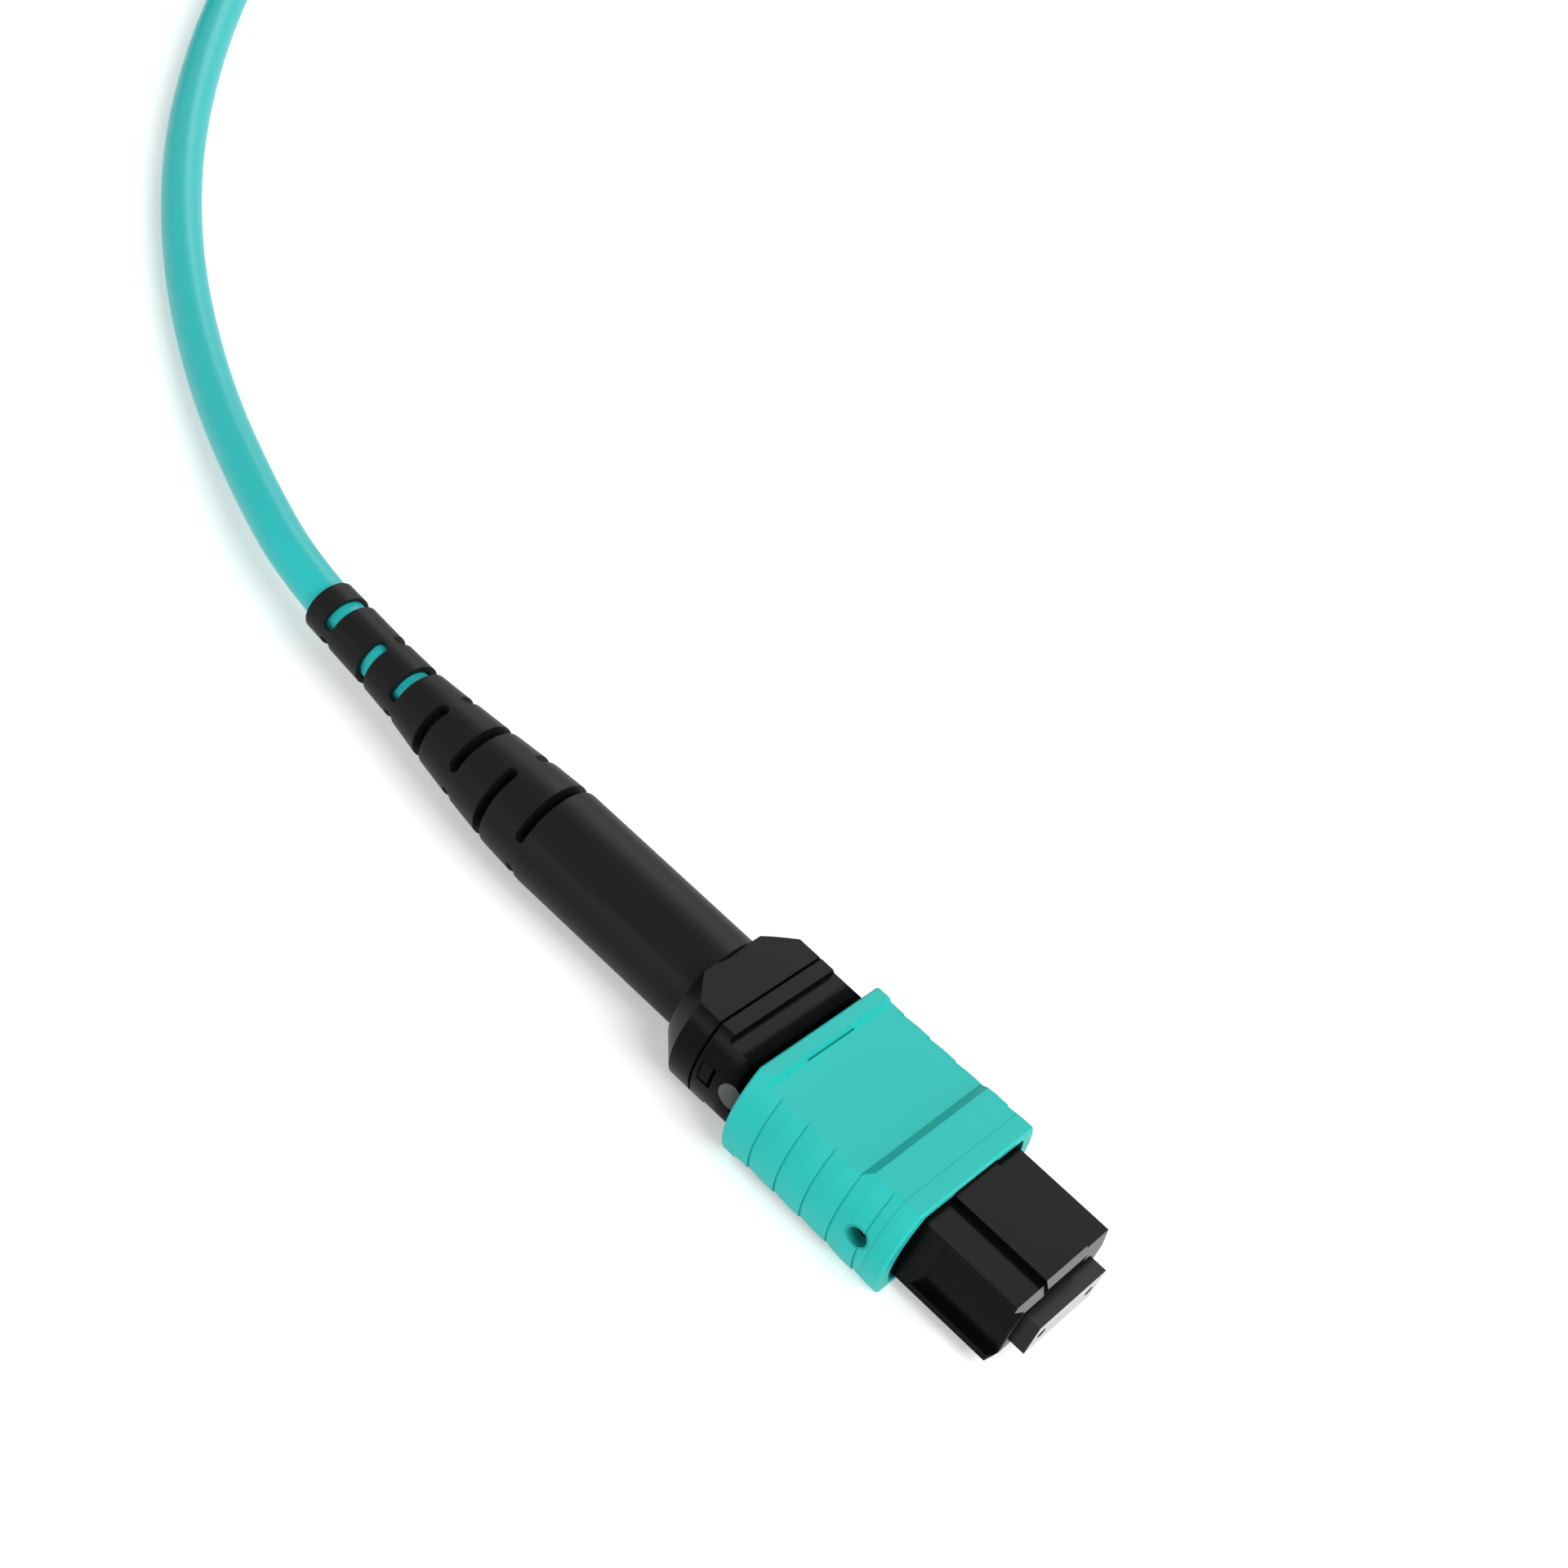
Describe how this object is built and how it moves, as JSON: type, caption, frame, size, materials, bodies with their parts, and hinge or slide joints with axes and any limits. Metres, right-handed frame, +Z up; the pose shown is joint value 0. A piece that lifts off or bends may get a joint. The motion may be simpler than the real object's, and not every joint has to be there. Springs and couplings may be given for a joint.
{
  "type": "mpo fibre connector",
  "caption": "Push-pull multi-fibre optical plug: keyed housing, sprung sliding sleeve, floating ferrule, slotted boot and a round pigtail wound in a tied coil.",
  "frame": {"origin": "under the middle of the connector's length (ferrule face to the boot's end), on the surface it lies on", "axes": "+X out of the connector towards the mating adapter, +Z up on the keyed side, +Y to the left"},
  "size_m": [0.18, 0.0784, 0.0072],
  "materials": {
    "black_plastic": "satin moulded",
    "aqua_plastic": "satin moulded",
    "black_rubber": "matt",
    "ferrule_resin": "fine matt, polished end face",
    "fibre_glass": "polished",
    "fibre_coating": "smooth coating",
    "spring_steel": "drawn wire",
    "crimp_metal": "satin",
    "keeper_metal": "stamped",
    "yarn": "twisted aramid",
    "aqua_jacket": "extruded jacket",
    "tie_fabric": "woven hook-and-loop"
  },
  "bodies": {
    "housing": {"plug_housing": "black_plastic", "spring_push": "black_plastic", "crimp_ring": "crimp_metal", "aramid_yarn": "yarn", "strain_relief_boot": "black_rubber", "fibre_bundle": "fibre_coating", "fibre_ribbon": "fibre_coating", "main_spring": "spring_steel", "coupling_spring_left": "spring_steel", "coupling_spring_right": "spring_steel", "cable": "aqua_jacket", "cable_coil": "aqua_jacket", "coil_tie": "tie_fabric", "cable_tail": "aqua_jacket", "tail_yarn": "yarn", "tail_ribbon": "fibre_coating"},
    "slider": {"coupling_slider": "aqua_plastic"},
    "floating_ferrule": {"ferrule": "ferrule_resin", "ferrule_fibres": "fibre_glass", "ferrule_boot": "black_rubber", "pin_keeper": "keeper_metal"}
  },
  "joints": [
    {"name": "slider_pull", "type": "slide", "parent": "housing", "child": "slider", "axis": [-1, 0, 0], "range_m": [0, 0.0022], "stiffness_N_per_m": 800, "springref_m": -0.001, "deforming": ["coupling_spring_left", "coupling_spring_right"]},
    {"name": "ferrule_float", "type": "slide", "parent": "housing", "child": "floating_ferrule", "axis": [-1, 0, 0], "range_m": [0, 0.001], "stiffness_N_per_m": 2000, "springref_m": -0.004, "deforming": ["main_spring", "fibre_ribbon"]}
  ]
}
